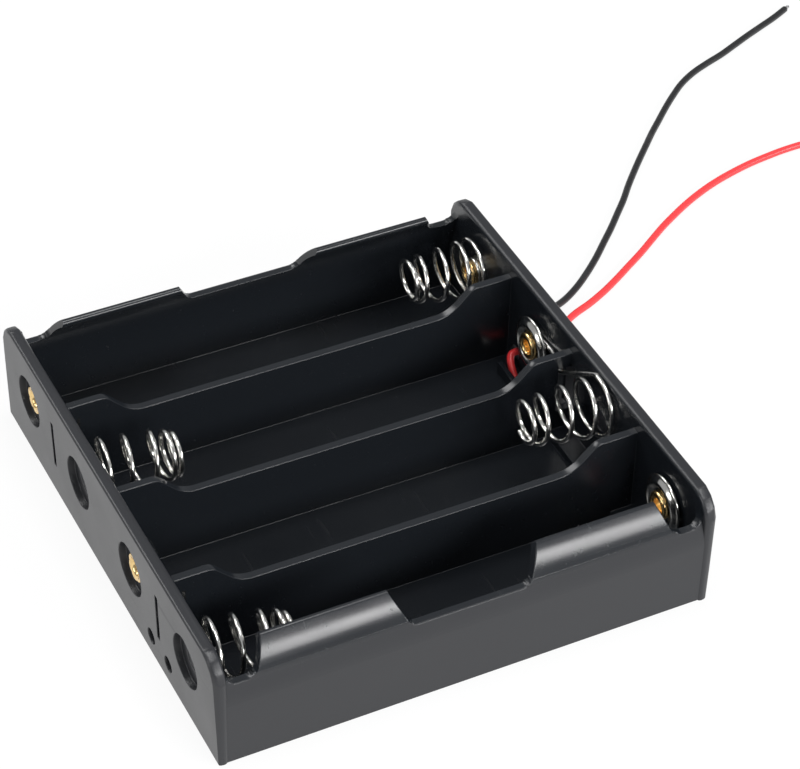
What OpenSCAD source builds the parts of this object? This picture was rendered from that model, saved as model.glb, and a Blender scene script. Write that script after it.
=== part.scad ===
// Four-bay holder for 18650 cells: a moulded tray with conical wire springs,
// dished contacts held by eyelets, and two insulated leads.
// X runs along the cells, Y across the bays, Z up. The origin is the centre of the base.

/* [Bays] */
// Width of one cell bay between its two walls
bay_w = 18.2; // [18:0.1:21]
// Length of a bay between the end walls
bay_l = 73; // [70:0.5:80]
// Height of the cell axis above the base
axis_z = 10.5; // [10.4:0.1:12]

/* [Walls] */
// Thickness of the floor
floor_t = 1.3; // [1:0.1:2]
// Thickness of the ribs between the bays
rib_t = 1.3; // [1:0.1:2]
// Thickness of the two side walls
side_t = 1.2; // [1:0.1:2]
// Thickness of an end wall at the base
end_t_base = 1.5; // [1.3:0.1:3]
// Thickness of an end wall at its top
end_t_top = 2; // [2:0.1:4]
// Height of the end walls
end_h = 18.8; // [18:0.1:24]
// How far an end wall stands proud of the side walls
end_proud = 0.2; // [0:0.1:0.5]
// Radius of the end walls' upper corners
corner_r = 4.5; // [2:0.5:6]
// Radius of the end walls' inner edges
edge_in_r = 0.7; // [0.2:0.1:0.7]
// Radius of the end walls' outer edge along the top
edge_top_r = 0.4; // [0.2:0.1:0.6]
// Radius of the end walls' outer edges at the sides
edge_side_r = 1.2; // [0.2:0.1:1.2]
// Angle up to which a side wall wraps over its cell
lip_angle = 49; // [40:1:60]

/* [Ribs] */
// Height of a rib along its middle
rib_low = 12.4; // [11:0.1:14]
// Height of a rib's shoulder beside an end wall
rib_high = 16.5; // [15:0.1:18]
// Length of a rib's shoulder
shoulder_l = 5.6; // [4:0.1:9]
// Slope of the step between shoulder and middle
step_angle = 45; // [30:5:60]
// Radius at the foot of the step
foot_r = 5; // [2:0.5:6]
// Radius at the top of the step
crown_r = 2; // [1:0.5:3]

/* [Cut-outs] */
// Height of the bottom of the finger cut-outs
finger_z = 13.8; // [13:0.1:16]
// Width of a finger cut-out at its bottom
finger_w = 18; // [10:1:30]
// Slope of a finger cut-out's ends, from upright
finger_slope = 27; // [0:1:40]
// Corner radius of a finger cut-out
finger_r = 1.6; // [0.5:0.1:2]
// Height of the bottom of the notches beside the end walls
notch_z = 14; // [13:0.1:16]
// Width of a notch at its bottom
notch_w = 4.6; // [4:0.1:6]
// Slope of a notch's lip side, from upright
notch_slope = 22; // [0:1:40]
// Corner radius of a notch
notch_r = 2; // [0.5:0.1:2.2]

/* [End wall details] */
// Diameter of the round recesses outside
recess_d = 8.1; // [6:0.1:12]
// Depth of the recesses at the cell axis
recess_deep = 0.8; // [0.4:0.1:1]
// Width of the slots that pass a link wire
slot_w = 0.9; // [0.9:0.1:1.4]
// Lowest point of the link slots
slot_low = 5.8; // [4:0.1:8]
// Highest point of the link slots
slot_high = 14; // [12:0.1:15]
// Diameter of the lead holes
lead_hole_d = 2.5; // [2.2:0.1:3]
// Height of the lead holes
lead_hole_z = 3.5; // [3.3:0.1:5]
// Distance of a lead hole from the nearest rib's middle
lead_hole_off = 3; // [2:0.1:4]

/* [Contacts] */
// Diameter of the contact discs
disc_d = 9.2; // [7:0.1:12]
// Thickness of the contact discs
disc_t = 0.35; // [0.3:0.05:0.6]
// Height of the raised ring pressed into a contact disc
ridge_h = 0.4; // [0.2:0.05:0.6]
// Outer diameter of an eyelet's barrel
barrel_d = 3; // [2.6:0.1:3.6]
// Wall of an eyelet's barrel
barrel_t = 0.35; // [0.25:0.05:0.5]
// Diameter of an eyelet's rolled head
head_d = 4.4; // [4:0.1:5.6]
// Diameter of an eyelet's flared tail
flare_d = 4.8; // [4:0.1:6]
// Thickness of the solder tags
tag_t = 0.35; // [0.2:0.05:0.5]
// Width of a solder tag's tail
tag_w = 1.8; // [1.4:0.1:2.4]

/* [Springs] */
// Diameter of the spring wire
wire_d = 0.75; // [0.6:0.05:0.9]
// Radius of the large coil at the wall, at the middle of the wire
base_r = 4.8; // [4.4:0.1:4.8]
// Radius of the small coil at the tip, at the middle of the wire
tip_r = 3; // [2.5:0.1:4]
// Free length of a spring from its wall
spring_l = 12.8; // [10:0.1:15]
// Number of turns
turns = 4.9; // [4:0.1:6]
// How far the large coil of spring 1 sits above the cell axis
rise_1 = 0.5; // [0:0.1:2]
// How far the large coil of spring 2 sits above the cell axis
rise_2 = 1; // [0:0.1:2]
// How far the large coil of spring 3 sits above the cell axis
rise_3 = 3.1; // [0:0.1:3.1]
// How far the large coil of spring 4 sits above the cell axis
rise_4 = 0.5; // [0:0.1:2]
// How far the tip of spring 1 sits above its large coil
lift_1 = 2; // [-1:0.1:2]
// How far the tip of spring 2 sits above its large coil
lift_2 = 0; // [-1:0.1:2]
// How far the tip of spring 3 sits above its large coil
lift_3 = 0.6; // [-1:0.1:2]
// How far the tip of spring 4 sits above its large coil
lift_4 = 0; // [-1:0.1:2]

/* [Leads] */
// Diameter of a lead over its insulation
lead_d = 1.15; // [1:0.05:1.6]
// Clearance of the red lead in its duct, on each side
duct_gap = 0.4; // [0.2:0.1:0.6]
// Thickness of the roof over the duct
duct_roof = 0.8; // [0.6:0.1:1.2]

/* [Fits] */
// Clearance between metal pieces that lie on each other
fit = 0.05; // [0.02:0.01:0.1]
// Radial clearance round an eyelet's barrel
barrel_fit = 0.3; // [0.2:0.05:0.5]

/* [Hidden] */

BACK = 1;
FRONT = -1;
RIGHT = 1;
LEFT = -1;
cut = 1;                 // how far a cutting shape runs past the face it opens
bore_fn = 48;
wire_sides = 8;
lead_sides = 8;
rings_per_turn = 18;

pitch = bay_w + rib_t;
side_in = 1.5*pitch + bay_w/2;
side_out = side_in + side_t;
end_half_w = side_out + end_proud;
end_in = bay_l/2;
lip_r_in = bay_w/2;
lip_r_out = lip_r_in + side_t;
draft_rate = (end_t_top - end_t_base)/end_h;
root = end_in + end_t_base/2;   // how far floor, sides and ribs run into the end walls
recess_floor = end_in + end_t_base + draft_rate*axis_z - recess_deep;
hole_r = barrel_d/2 + barrel_fit;

// Distances from an end wall's inner face towards the cell
spring_head_seat = tag_t + wire_d + 3*fit;
link_x = 2.1*wire_d;     // distance at which a link wire passes its rib
coil_closing = 0.11;     // how much closer the end turns lie
loop_r = barrel_d/2 + wire_d/2 + fit;
head_rise = 0.9;         // height of an eyelet's rolled head
flare_rise = 0.5;        // height of an eyelet's flared tail

// Y of the middle of bay n, counted from the back, and of the rib before bay n
function bay_y(n) = pitch*(2.5 - n);
function rib_y(n) = pitch*(2 - n);
function rise(n) = [rise_1, rise_2, rise_3, rise_4][n - 1];
function lift(n) = [lift_1, lift_2, lift_3, lift_4][n - 1];
// How far a spring's tip leans across its bay
function lean(n) = [-0.5, -0.6, 0.6, -0.8][n - 1];
// A contact sits on the link wire's loop, or on the solder tag
function disc_seat(n) = n == 4 ? tag_t + fit : wire_d + 2*fit;
function head_seat(n) = disc_seat(n) + disc_t;
function side_of_spring(n) = n == 1 || n == 3 ? RIGHT : LEFT;
// Outer face of an end wall at height z
function end_out(z) = end_in + end_t_base + draft_rate*z;

// Points of an arc about [x, y]
function arc(x, y, r, from, to, steps = 12) =
    [for (i = [0:steps]) let (a = from + (to - from)*i/steps) [x + r*cos(a), y + r*sin(a)]];

// ---- sweeping a round wire along a path of points ----

function unit(v) = v/norm(v);
function heading(p, i) = unit(p[min(i + 1, len(p) - 1)] - p[max(i - 1, 0)]);
function square_to(v, t) = unit(v - (v*t)*t);
// One normal for each point, turned as little as possible from ring to ring
function normals(p, first) =
    [for (i = 0, n = square_to(first, heading(p, 0)); i < len(p);
          i = i + 1, n = i < len(p) ? square_to(n, heading(p, i)) : n) n];

module wire(path, d, sides, first = [0, 0, 1]) {
    n = normals(path, first);
    // rings are widened so that the polygon has the round wire's area
    r = d/2*sqrt(2*PI/sides/sin(360/sides));
    points = [for (i = [0:len(path) - 1]) let (b = cross(heading(path, i), n[i]))
        for (k = [0:sides - 1]) let (a = 360*(k + 0.5)/sides)
            path[i] + r*(cos(a)*n[i] + sin(a)*b)];
    skin = [for (i = [0:len(path) - 2], k = [0:sides - 1])
        let (a = i*sides + k, b = i*sides + (k + 1) % sides)
        each [[a, a + sides, b], [b, a + sides, b + sides]]];
    last = (len(path) - 1)*sides;
    ends = [[for (k = [0:sides - 1]) k], [for (k = [sides - 1:-1:0]) last + k]];
    polyhedron(points, concat(skin, ends), convexity = 6);
}

// ---- housing ----

// Upright section of a side wall: straight up to the cell axis, then round the cell
module side_section() {
    tip_r_mid = (lip_r_in + lip_r_out)/2;
    translate([side_in, 0]) square([side_t, axis_z]);
    translate([1.5*pitch, axis_z]) {
        intersection() {
            difference() {
                circle(r = lip_r_out, $fn = 96);
                circle(r = lip_r_in, $fn = 96);
            }
            polygon([[0, 0], [2*lip_r_out, 0],
                [2*lip_r_out, 2*lip_r_out*tan(lip_angle)]]);
        }
        rotate(lip_angle) translate([tip_r_mid, 0]) circle(r = side_t/2, $fn = 24);
    }
}

// An opening with a flat bottom, round lower corners and leaning ends, open at the top.
// lean_a and lean_b are the ends' angles from upright.
module open_notch(x_a, x_b, z, r, lean_a, lean_b) {
    top = end_h + cut - z;
    polygon(concat(
        [[x_a - top*tan(lean_a), z + top]],
        arc(x_a + r*tan(45 - lean_a/2), z + r, r, 180 + lean_a, 270, 8),
        arc(x_b - r*tan(45 - lean_b/2), z + r, r, 270, 360 - lean_b, 8),
        [[x_b + top*tan(lean_b), z + top]]));
}

module side_walls() {
    difference() {
        for (s = [BACK, FRONT]) mirror([0, s == FRONT ? 1 : 0, 0])
            rotate([90, 0, 90]) linear_extrude(height = 2*root, center = true) side_section();
        for (s = [BACK, FRONT]) mirror([0, s == FRONT ? 1 : 0, 0])
            translate([0, side_out + cut, 0]) rotate([90, 0, 0])
                linear_extrude(height = side_t + lip_r_in + cut) {
                    open_notch(-finger_w/2, finger_w/2, finger_z, finger_r,
                        finger_slope, finger_slope);
                    for (e = [RIGHT, LEFT]) mirror([e == LEFT ? 1 : 0, 0])
                        open_notch(end_in - notch_w, end_in, notch_z, notch_r,
                            notch_slope, 0);
                }
    }
}

// Section of an end wall across one of its free edges: x from the inner face, w towards the edge
module edge_section(r_out, reach) {
    polygon(concat(
        [[0, -reach], [end_t_top, -reach]],
        arc(end_t_top - r_out, corner_r - r_out, r_out, 0, 90, 6),
        arc(edge_in_r, corner_r - edge_in_r, edge_in_r, 90, 180, 6)));
}

module end_wall() {
    reach = 2*end_half_w + end_h;
    translate([end_in, 0, 0]) intersection() {
        rotate([90, 0, 0]) linear_extrude(height = 2*end_half_w, center = true)
            polygon([[0, 0], [end_t_base, 0], [end_t_top, end_h], [0, end_h]]);
        rotate([90, 0, 90]) linear_extrude(height = end_t_top) {
            translate([-end_half_w, 0]) square([2*end_half_w, end_h - corner_r]);
            translate([-end_half_w + corner_r, 0]) square([2*(end_half_w - corner_r), end_h]);
            for (s = [-1, 1]) translate([s*(end_half_w - corner_r), end_h - corner_r])
                circle(r = corner_r, $fn = 64);
        }
        // the free edges are rounded, side, corner and top
        intersection_for (s = [0, 1]) intersection_for (a = [0:22.5:90])
            mirror([0, s, 0]) translate([0, end_half_w - corner_r, end_h - corner_r])
                rotate([a, 0, 0]) linear_extrude(height = 2*reach, center = true)
                    edge_section(edge_side_r + (edge_top_r - edge_side_r)*a/90, reach);
    }
}

// A rib's outline: a low middle that steps up to a shoulder at each end wall
function rib_half() = let (
    step = rib_high - rib_low,
    crown = [end_in - shoulder_l, rib_high - crown_r],
    a = step_angle,
    x_line = (step - (foot_r + crown_r)*(1 - cos(a)))/tan(a),
    foot_x = crown[0] - crown_r*sin(a) - x_line - foot_r*sin(a))
    concat([[end_in, rib_high]],
        arc(crown[0], crown[1], crown_r, 90, 90 + a, 6),
        arc(foot_x, rib_low + foot_r, foot_r, 270 + a, 270, 6));

module rib() {
    right = rib_half();
    left = [for (i = [len(right) - 1:-1:0]) [-right[i][0], right[i][1]]];
    rotate([90, 0, 0]) linear_extrude(height = rib_t, center = true)
        polygon(concat([[-root, rib_high], [-root, 0], [root, 0], [root, rib_high]], right, left));
}

duct_w = lead_d + 2*duct_gap;
duct_h = lead_d + duct_gap;
duct_x = end_in - duct_gap - lead_d/2 - 0.7;
duct_in_y = bay_y(2) + 5;
duct_out_y = bay_y(4) + 2;
guard_h = 3.3;           // height of the guard in front of the duct's mouth
duct_mouth = 4;          // length of the duct's open mouth in each bay

module duct_roof_block() {
    x_from = duct_x - duct_w/2 - duct_roof;
    y_from = duct_out_y - duct_gap;
    y_to = duct_in_y - duct_mouth;
    translate([x_from, y_from, 0])
        cube([end_in - x_from, y_to - y_from, duct_h + duct_roof]);
    // a low guard keeps the red lead away from the cell
    translate([x_from, y_to, 0]) cube([duct_roof, duct_mouth + 1, guard_h]);
}

module duct_cuts() {
    y_from = duct_out_y - duct_mouth;
    translate([duct_x - duct_w/2, y_from, -cut])
        cube([duct_w, duct_in_y - y_from, duct_h + cut]);
    for (y = [duct_in_y - duct_mouth, y_from])
        translate([duct_x - duct_w/2, y, -cut])
            cube([duct_w, duct_mouth, duct_h + duct_roof + 2*cut]);
}

module end_wall_cuts(e) {
    for (n = [1:4]) translate([e*end_in, bay_y(n), axis_z]) rotate([0, e*90, 0]) {
        translate([0, 0, -cut]) cylinder(r = hole_r, h = end_t_top + 2*cut, $fn = bore_fn);
        translate([0, 0, recess_floor - end_in])
            cylinder(d = recess_d, h = recess_deep + end_t_top, $fn = bore_fn);
    }
    // holes for the leads, one on each side of the outer rib
    for (s = [-1, 1]) translate([e*(end_in - cut), e*pitch + s*lead_hole_off, lead_hole_z])
        rotate([0, e*90, 0]) cylinder(d = lead_hole_d, h = end_t_top + 2*cut, $fn = bore_fn);
}

// A slot through the end wall at a rib, opened through the rib's end for the link wire
module link_slot(e, y) {
    window = 3*wire_d;   // how far the rib is cut back from the wall
    translate([e*(end_in + end_t_top/2), y, (slot_low + slot_high)/2])
        cube([end_t_top + 2*cut, slot_w, slot_high - slot_low], center = true);
    translate([e*end_in, y, (slot_low + slot_high)/2])
        cube([2*window, rib_t + 2*cut, slot_high - slot_low], center = true);
}

module link_slots() {
    for (n = [2, 4]) link_slot(LEFT, rib_y(n - 1));
    link_slot(RIGHT, rib_y(2));
}

module housing() {
    color([0.13, 0.13, 0.15]) difference() {
        union() {
            translate([-root, -side_out, 0]) cube([2*root, 2*side_out, floor_t]);
            side_walls();
            end_wall();
            mirror([1, 0, 0]) end_wall();
            for (n = [1:3]) translate([0, rib_y(n), 0]) rib();
            duct_roof_block();
        }
        for (e = [RIGHT, LEFT]) end_wall_cuts(e);
        link_slots();
        duct_cuts();
    }
}

// ---- springs ----

// The coils of spring n: x is the distance from the wall. They lie closer at both ends.
function coil(n, from, sense, seat) = let (count = round(turns*rings_per_turn))
    [for (i = [0:count]) let (
        t = i/count,
        r = base_r + (tip_r - base_r)*t,
        a = from + sense*360*turns*t,
        run = t - coil_closing*sin(360*t),
        x = seat + wire_d/2 + (spring_l - seat - wire_d)*run)
        [x, bay_y(n) + lean(n)*t + r*cos(a), axis_z + rise(n) + lift(n)*t + r*sin(a)]];

// Angle at which a line from point q touches a circle, on the side that sense names
function touch(y, z, r, q, sense) = let (dy = q[0] - y, dz = q[1] - z)
    atan2(dz, dy) + sense*acos(r/norm([dy, dz]));

// Spring n, whose tail passes the rib before it and loops round the next bay's eyelet.
// On the right the tail passes high and meets the coil's top, on the left it passes low.
module linked_spring(n) {
    e = side_of_spring(n);
    x = wire_d/2 + fit;
    window = [rib_y(n - 1), e == RIGHT ? slot_high - wire_d/2 - 0.2 : slot_low + wire_d/2 + 0.2];
    a_loop = touch(bay_y(n - 1), axis_z, loop_r, window, -e);
    a_coil = touch(bay_y(n), axis_z + rise(n), base_r, window, e);
    loop = [for (i = [14:-1:0]) let (a = a_loop - e*20*i)
        [x, bay_y(n - 1) + loop_r*cos(a), axis_z + loop_r*sin(a)]];
    leaving = loop[len(loop) - 1];
    clear = leaving + 0.52*([x, window[0], window[1]] - leaving);
    tail = [clear, [link_x, window[0] + 0.7, window[1]], [link_x, window[0] - 0.7, window[1]]];
    on_wall(e) wire(concat(loop, tail, coil(n, a_coil, e, fit)), wire_d, wire_sides, [1, 0, 0]);
}

// Spring 1 loops round its own eyelet and spirals out to its large coil
module clamped_spring() {
    seat = tag_t + 2*fit;
    x = seat + wire_d/2;
    start = 14;
    spiral = 160;
    loop = [for (i = [14:-1:1]) let (a = start - spiral - 20*i)
        [x, bay_y(1) + loop_r*cos(a), axis_z + loop_r*sin(a)]];
    out = [for (i = [0:8]) let (t = i/9, a = start - spiral*(1 - t), s = t*t*(3 - 2*t),
            r = loop_r + (base_r - loop_r)*s)
        [x, bay_y(1) + r*cos(a), axis_z + rise(1)*s + r*sin(a)]];
    on_wall(RIGHT) wire(concat(loop, out, coil(1, start, 1, seat)), wire_d, wire_sides, [1, 0, 0]);
}

// Places what is drawn with x as the distance from an end wall
module on_wall(e) {
    if (e == RIGHT) translate([end_in, 0, 0]) mirror([1, 0, 0]) children();
    else translate([-end_in, 0, 0]) children();
}

module spring_1() { color([0.8, 0.8, 0.78]) clamped_spring(); }
module spring_2() { color([0.8, 0.8, 0.78]) linked_spring(2); }
module spring_3() { color([0.8, 0.8, 0.78]) linked_spring(3); }
module spring_4() { color([0.8, 0.8, 0.78]) linked_spring(4); }

// ---- contacts ----

// A pressed disc: a flat hub, a raised ring round it and a lower rim
module contact_disc(n) {
    seat = disc_seat(n);
    hub_r = head_d/2 + 0.2;
    rim_r = disc_d/2;
    ridge_r = (hub_r + rim_r)/2;
    hole = barrel_d/2 + fit;
    low = [[hole, seat], [hub_r, seat], [ridge_r - 0.2, seat + ridge_h],
        [ridge_r + 0.2, seat + ridge_h], [rim_r, seat]];
    color([0.78, 0.78, 0.76]) on_wall(-side_of_spring(n))
        translate([0, bay_y(n), axis_z]) rotate([0, 90, 0]) rotate_extrude($fn = 64)
            polygon(concat(low, [for (i = [len(low) - 1:-1:0]) low[i] + [0, disc_t]]));
}

// A tubular rivet: rolled head over the contact, barrel through the wall, flared tail outside
module eyelet(n, e, seat) {
    r = barrel_d/2;
    inner = r - barrel_t;
    tail = -(recess_floor - end_in) - fit;
    roll = head_rise/2;
    color([0.78, 0.62, 0.3]) on_wall(e)
        translate([0, bay_y(n), axis_z]) rotate([0, 90, 0]) rotate_extrude($fn = 48)
            polygon(concat(
                [[inner, tail], [inner + 0.1, tail - flare_rise],
                    [flare_d/2, tail - flare_rise], [flare_d/2, tail - 0.15],
                    [r, tail], [r, seat + fit]],
                [[head_d/2 - roll/2, seat + fit]],
                arc(head_d/2 - roll, seat + fit + roll, roll, -60, 90, 8),
                arc(inner + roll, seat + fit + roll, roll, 90, 180, 6)));
}

tag_foot = axis_z - 4.4;  // how far a tag's tail reaches below the cell axis

// A ring round the barrel with a tail towards the base, on which the lead's core is soldered
module solder_tag(n) {
    color([0.75, 0.75, 0.74]) on_wall(RIGHT)
        translate([fit, bay_y(n), axis_z]) rotate([0, 90, 0]) difference() {
            union() {
                cylinder(r = head_d/2 + 0.4, h = tag_t - fit, $fn = bore_fn);
                translate([0, -tag_w/2, 0]) cube([tag_foot, tag_w, tag_t - fit]);
            }
            translate([0, 0, -cut])
                cylinder(r = barrel_d/2 + fit, h = tag_t + 2*cut, $fn = bore_fn);
        }
}

module contact_disc_1() { contact_disc(1); }
module contact_disc_2() { contact_disc(2); }
module contact_disc_3() { contact_disc(3); }
module contact_disc_4() { contact_disc(4); }
module eyelet_1_spring() { eyelet(1, RIGHT, spring_head_seat); }
module eyelet_1() { eyelet(1, LEFT, head_seat(1)); }
module eyelet_2() { eyelet(2, RIGHT, head_seat(2)); }
module eyelet_3() { eyelet(3, LEFT, head_seat(3)); }
module eyelet_4() { eyelet(4, RIGHT, head_seat(4)); }
module solder_tag_black() { solder_tag(1); }
module solder_tag_red() { solder_tag(4); }

// ---- leads ----

black_y = pitch + lead_hole_off;
red_y = pitch - lead_hole_off;
exit_x = end_out(lead_hole_z);
tag_x = end_in - tag_t - lead_d/2 - fit;   // a wire that lies on a solder tag
duct_z = lead_d/2 + 0.1;                   // the red lead in its duct

inner_black = [
    [exit_x, black_y, lead_hole_z], [end_in, black_y, lead_hole_z],
    [end_in - 0.7, black_y + 0.25, lead_hole_z], [tag_x, black_y + 1.1, lead_hole_z],
    [tag_x, black_y + 2.6, 3.2], [tag_x, black_y + 4, 2.9], [tag_x, bay_y(1) - 1.5, 3.1],
    [tag_x, bay_y(1) - 0.5, 3.7], [tag_x, bay_y(1) - 0.1, 4.5], [tag_x, bay_y(1), 5.2]];

inner_red = [
    [exit_x, red_y, lead_hole_z], [end_in, red_y, lead_hole_z],
    [end_in - 0.7, red_y - 0.2, 3.4], [end_in - 1.15, red_y - 0.8, 3.05],
    [duct_x + 0.25, red_y - 1.7, 2.5], [duct_x + 0.1, red_y - 2.7, 1.9],
    [duct_x, red_y - 3.7, 1.3], [duct_x, red_y - 4.8, 0.85], [duct_x, red_y - 6, duct_z],
    [duct_x, rib_y(2), duct_z], [duct_x, rib_y(3), duct_z], [duct_x, bay_y(4) + 3, duct_z],
    [duct_x, bay_y(4) + 1.6, 1], [duct_x + 0.1, bay_y(4) + 0.7, 1.8],
    [tag_x, bay_y(4) + 0.2, 2.8], [tag_x, bay_y(4), 3.9], [tag_x, bay_y(4), 5]];

// Routes of the free leads on the surface that the holder stands on
lie = lead_d/2;
route_black = [
    [exit_x, black_y, lead_hole_z], [exit_x + 1.2, black_y, lead_hole_z], [41.6, 22.9, 3.3],
    [44.7, 24.0, 2.5], [48.3, 25.7, 1.4], [51.7, 27.6, 0.7], [55.1, 29.8, lie],
    [58.3, 32.3, lie], [61.5, 35.1, lie], [64.6, 38.1, lie], [67.5, 40.9, lie],
    [70.3, 43.8, lie], [73.1, 46.7, lie], [75.8, 49.8, lie], [78.5, 52.7, lie],
    [81.3, 55.6, lie], [84.1, 58.4, lie], [86.9, 61.2, lie], [89.8, 63.9, lie],
    [92.8, 66.7, lie], [95.8, 69.3, lie], [99.0, 71.8, lie], [102.5, 73.8, lie],
    [106.2, 75.3, lie], [109.9, 76.6, lie], [113.6, 78.2, lie], [117.3, 79.8, lie],
    [121.0, 81.3, lie], [124.7, 82.8, lie], [128.9, 84.8, lie]];
route_red = [
    [exit_x, red_y, lead_hole_z], [exit_x + 1.2, red_y, lead_hole_z], [41.6, 17.4, 3.2],
    [44.5, 19.2, 2.4], [47.9, 21.5, 1.3], [51.3, 23.7, 0.7], [54.9, 25.2, lie],
    [58.4, 26.9, lie], [61.9, 28.9, lie], [65.3, 31.0, lie], [68.7, 33.1, lie],
    [72.1, 35.4, lie], [75.4, 37.6, lie], [78.8, 39.6, lie], [82.3, 41.5, lie],
    [86.0, 43.2, lie], [89.7, 44.6, lie], [93.5, 45.7, lie], [97.4, 46.6, lie],
    [101.4, 47.2, lie], [105.4, 47.6, lie], [109.4, 47.6, lie], [113.3, 46.8, lie],
    [116.9, 45.0, lie], [119.7, 42.2, lie], [121.5, 38.6, lie], [122.1, 34.6, lie],
    [121.4, 30.7, lie], [119.5, 27.2, lie], [116.6, 24.4, lie]];

module inner_wire_black() { color([0.1, 0.1, 0.1]) wire(inner_black, lead_d, lead_sides); }
module inner_wire_red() { color([0.85, 0.16, 0.16]) wire(inner_red, lead_d, lead_sides); }
module lead_black() { color([0.1, 0.1, 0.1]) wire(route_black, lead_d, lead_sides); }
module lead_red() { color([0.85, 0.16, 0.16]) wire(route_red, lead_d, lead_sides); }

housing();
spring_1();
spring_2();
spring_3();
spring_4();
contact_disc_1();
contact_disc_2();
contact_disc_3();
contact_disc_4();
eyelet_1_spring();
eyelet_1();
eyelet_2();
eyelet_3();
eyelet_4();
solder_tag_black();
solder_tag_red();
inner_wire_black();
inner_wire_red();
lead_black();
lead_red();
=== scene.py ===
"""Holder for four cylindrical cells: pieces, finishes, light and camera over the CAD frame."""
import logging
from dataclasses import dataclass, field
from enum import Enum

import bmesh
import bpy
import numpy as np
from mathutils import Matrix, Vector


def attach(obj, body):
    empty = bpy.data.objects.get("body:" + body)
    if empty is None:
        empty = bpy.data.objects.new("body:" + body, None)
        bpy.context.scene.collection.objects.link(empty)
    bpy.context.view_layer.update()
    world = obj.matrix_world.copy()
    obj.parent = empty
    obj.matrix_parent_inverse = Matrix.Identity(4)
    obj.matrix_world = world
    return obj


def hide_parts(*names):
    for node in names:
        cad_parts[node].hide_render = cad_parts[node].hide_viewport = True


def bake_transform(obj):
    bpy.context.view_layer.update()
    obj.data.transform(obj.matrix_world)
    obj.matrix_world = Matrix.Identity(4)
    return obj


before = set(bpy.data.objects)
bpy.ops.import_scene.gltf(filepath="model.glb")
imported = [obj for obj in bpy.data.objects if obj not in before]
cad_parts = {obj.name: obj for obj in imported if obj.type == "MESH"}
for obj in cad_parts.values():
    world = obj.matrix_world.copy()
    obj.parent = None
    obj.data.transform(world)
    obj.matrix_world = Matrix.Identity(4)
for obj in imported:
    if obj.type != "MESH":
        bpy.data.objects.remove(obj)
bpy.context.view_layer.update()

MM = 0.001
log = logging.getLogger("holder")


class Wall(Enum):
    """End wall that a contact stands on; the value is the sign of its X."""

    RIGHT = 1
    LEFT = -1


class Slot(Enum):
    """Material slots, named after their finishes."""

    PLASTIC = "moulded_plastic"
    SPRING = "spring_steel"
    PLATE = "contact_plate"
    BRASS = "eyelet_brass"
    BLACK = "black_insulation"
    RED = "red_insulation"


# ---- the holder's own sizes, in millimetres, as the CAD source has them ----

PITCH = 19.5
AXIS_Z = 10.5
END_IN = 36.5
FIT = 0.05
WIRE_D = 0.75
BARREL_R = 1.5
LEAD_D = 1.15
TAG_T = 0.35
LOOP_R = BARREL_R + WIRE_D / 2 + FIT
TAIL = -0.68
BLEND_REACH = 14.3  # distance from the wall, in millimetres; nothing is moved with it


def bay_y(n: int) -> float:
    """Y of the middle of bay n, counted from the back."""
    return PITCH * (2.5 - n)


def rib_y(n: int) -> float:
    """Y of the rib in front of bay n."""
    return PITCH * (2 - n)


def on_wall(wall: Wall, points: np.ndarray) -> np.ndarray:
    """Turns distances from an end wall's inner face into X.

    Args:
        wall: the end wall.
        points: rows whose first number is the distance from the wall, in millimetres.
    Returns:
        The rows in the holder's frame.
    """
    placed = np.array(points, float)
    placed[..., 0] = wall.value * (END_IN - placed[..., 0])
    return placed


# ---- surfaces ----


def smooth_path(points: np.ndarray, steps: int) -> np.ndarray:
    """A Catmull-Rom curve through all points: each span is a cubic of its four nearest points.

    Args:
        points: rows of coordinates.
        steps: pieces that each span is cut into.
    Returns:
        The denser rows, the first and last points among them.
    """
    ends = np.vstack([2 * points[0] - points[1], points, 2 * points[-1] - points[-2]])
    a, b, c, d = ends[:-3, None], ends[1:-2, None], ends[2:-1, None], ends[3:, None]
    t = np.linspace(0, 1, steps, endpoint=False)[None, :, None]
    curve = 0.5 * (2 * b + (c - a) * t + (2 * a - 5 * b + 4 * c - d) * t**2
                   + (3 * b - a - 3 * c + d) * t**3)
    return np.vstack([curve.reshape(-1, 3), points[-1]])


def along(path: np.ndarray) -> np.ndarray:
    """Distance of each point of a path from its start, along it."""
    return np.concatenate([[0.0], np.cumsum(np.linalg.norm(np.diff(path, axis=0), axis=1))])


def cut_path(path: np.ndarray, start: float, end: float) -> np.ndarray:
    """The stretch of a path between two distances along it.

    Args:
        path: rows of coordinates.
        start: distance at which the stretch begins.
        end: distance at which it ends.
    Returns:
        Its rows, with both ends interpolated.
    """
    run = along(path)
    keep = run[(run > start + 1e-6) & (run < end - 1e-6)]
    at = np.concatenate([[start], keep, [end]])
    return np.stack([np.interp(at, run, path[:, i]) for i in range(3)], axis=1)


def unit(v: np.ndarray) -> np.ndarray:
    """Rows scaled to length 1."""
    return v / np.linalg.norm(v, axis=-1, keepdims=True)


def frames(path: np.ndarray, reference: np.ndarray) -> tuple[np.ndarray, np.ndarray, np.ndarray]:
    """Heading, normal and binormal at each point: the normal is the reference less its share along.

    Args:
        path: rows of coordinates.
        reference: a direction that the path never runs along.
    Returns:
        Three arrays of unit rows.
    """
    heading = unit(np.gradient(path, axis=0))
    share = heading @ reference
    normal = unit(reference - share[:, None] * heading)
    return heading, normal, np.cross(heading, normal)


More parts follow.
